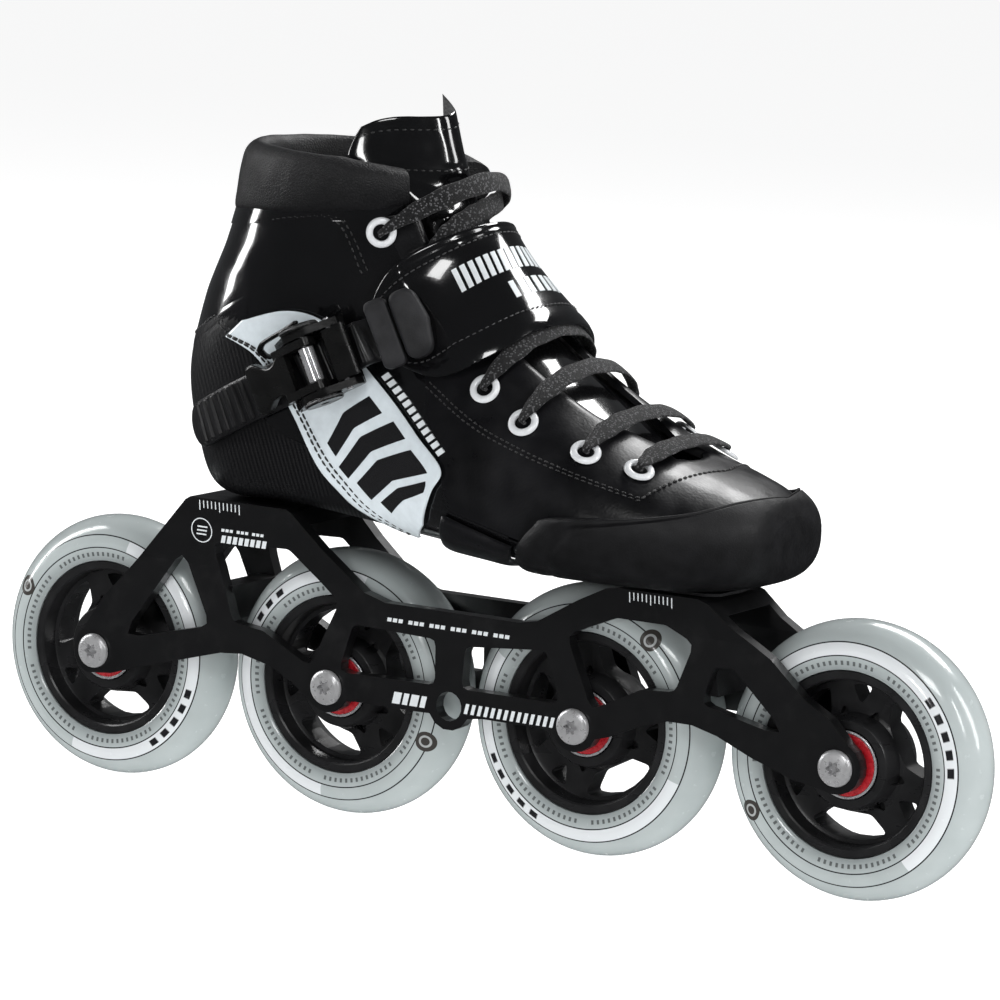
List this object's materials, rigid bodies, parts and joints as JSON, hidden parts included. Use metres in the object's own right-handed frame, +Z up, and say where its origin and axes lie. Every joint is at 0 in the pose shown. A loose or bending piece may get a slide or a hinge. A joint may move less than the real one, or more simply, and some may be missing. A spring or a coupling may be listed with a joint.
{
  "type": "inline speed skate",
  "caption": "Laced inline speed skate with a low leather boot, ratchet instep strap and a light metal frame holding large wheels in one line.",
  "frame": {"origin": "on the ground under the middle of the frame, half way between the two middle wheels", "axes": "+X towards the toe, +Y towards the skater's left (the inner side of this right-foot skate), +Z up"},
  "size_m": [0.376, 0.0973, 0.242],
  "materials": {
    "black_anodised_aluminium": "satin black anodised",
    "bright_steel": "bright zinc plated",
    "pale_urethane": "cast urethane, slightly glossy",
    "black_hub_plastic": "glossy moulded nylon",
    "red_bearing_shield": "steel race with a red seal",
    "matt_black_shell": "matt black composite",
    "black_patent_leather": "black patent",
    "grained_black_leather": "matt grained",
    "dark_rubber": "matt moulded rubber",
    "white_patent": "white patent",
    "white_enamel": "white enamel",
    "black_nylon": "satin glass-filled nylon",
    "heather_lace": "flat woven lace, black with grey fleck",
    "insole_cloth": "brushed cloth over foam",
    "chrome": "polished"
  },
  "bodies": {
    "skate": {"frame": "black_anodised_aluminium", "rear_mount_bolt": "bright_steel", "front_mount_bolt": "bright_steel", "front_mount_plate": "dark_rubber", "wheel_1_axle": "bright_steel", "wheel_2_axle": "bright_steel", "wheel_3_axle": "bright_steel", "wheel_4_axle": "bright_steel", "boot_shell": "matt_black_shell", "leather_upper": "black_patent_leather", "collar_padding": "grained_black_leather", "tongue": "black_patent_leather", "footbed": "insole_cloth", "toe_bumper": "dark_rubber", "side_rail_right": "matt_black_shell", "side_rail_left": "matt_black_shell", "side_panel_right": "white_patent", "side_panel_left": "white_patent", "eyelet_right_1": "white_enamel", "eyelet_right_2": "white_enamel", "eyelet_right_3": "white_enamel", "eyelet_right_4": "white_enamel", "eyelet_right_5": "white_enamel", "eyelet_left_1": "white_enamel", "eyelet_left_2": "white_enamel", "eyelet_left_3": "white_enamel", "eyelet_left_4": "white_enamel", "eyelet_left_5": "white_enamel", "lace_strand_1": "heather_lace", "lace_strand_2": "heather_lace", "lace_strand_3": "heather_lace", "lace_strand_4": "heather_lace", "lace_strand_5": "heather_lace", "lace_strand_6": "heather_lace", "instep_strap": "black_patent_leather", "ladder_strap": "black_nylon", "strap_cover": "dark_rubber", "buckle_base": "black_nylon", "buckle_pin": "chrome", "release_pin": "bright_steel"},
    "wheel_1": {"wheel_1_tyre": "pale_urethane", "wheel_1_hub": "black_hub_plastic", "wheel_1_bearing_right": "red_bearing_shield", "wheel_1_bearing_left": "red_bearing_shield"},
    "wheel_2": {"wheel_2_tyre": "pale_urethane", "wheel_2_hub": "black_hub_plastic", "wheel_2_bearing_right": "red_bearing_shield", "wheel_2_bearing_left": "red_bearing_shield"},
    "wheel_3": {"wheel_3_tyre": "pale_urethane", "wheel_3_hub": "black_hub_plastic", "wheel_3_bearing_right": "red_bearing_shield", "wheel_3_bearing_left": "red_bearing_shield"},
    "wheel_4": {"wheel_4_tyre": "pale_urethane", "wheel_4_hub": "black_hub_plastic", "wheel_4_bearing_right": "red_bearing_shield", "wheel_4_bearing_left": "red_bearing_shield"},
    "lever": {"buckle_lever": "black_nylon"},
    "release": {"buckle_release": "black_nylon"}
  },
  "joints": [
    {"name": "wheel_1_spin", "type": "hinge", "parent": "skate", "child": "wheel_1", "pos_m": [-0.143, 0, 0.045], "axis": [0, 1, 0], "continuous": true},
    {"name": "wheel_2_spin", "type": "hinge", "parent": "skate", "child": "wheel_2", "pos_m": [-0.04767, 0, 0.045], "axis": [0, 1, 0], "continuous": true},
    {"name": "wheel_3_spin", "type": "hinge", "parent": "skate", "child": "wheel_3", "pos_m": [0.04767, 0, 0.045], "axis": [0, 1, 0], "continuous": true},
    {"name": "wheel_4_spin", "type": "hinge", "parent": "skate", "child": "wheel_4", "pos_m": [0.143, 0, 0.045], "axis": [0, 1, 0], "continuous": true},
    {"name": "lever_hinge", "type": "hinge", "parent": "skate", "child": "lever", "pos_m": [-0.03911, -0.04652, 0.15645], "axis": [-0.4462, 0, 0.8949], "range_deg": [0, 75], "stiffness_Nm_per_rad": 0.08, "springref_deg": -5.73},
    {"name": "release_hinge", "type": "hinge", "parent": "skate", "child": "release", "pos_m": [-0.03034, -0.04452, 0.16082], "axis": [-0.4462, 0, 0.8949], "range_deg": [0, 12], "stiffness_Nm_per_rad": 0.1, "springref_deg": -2.86}
  ]
}
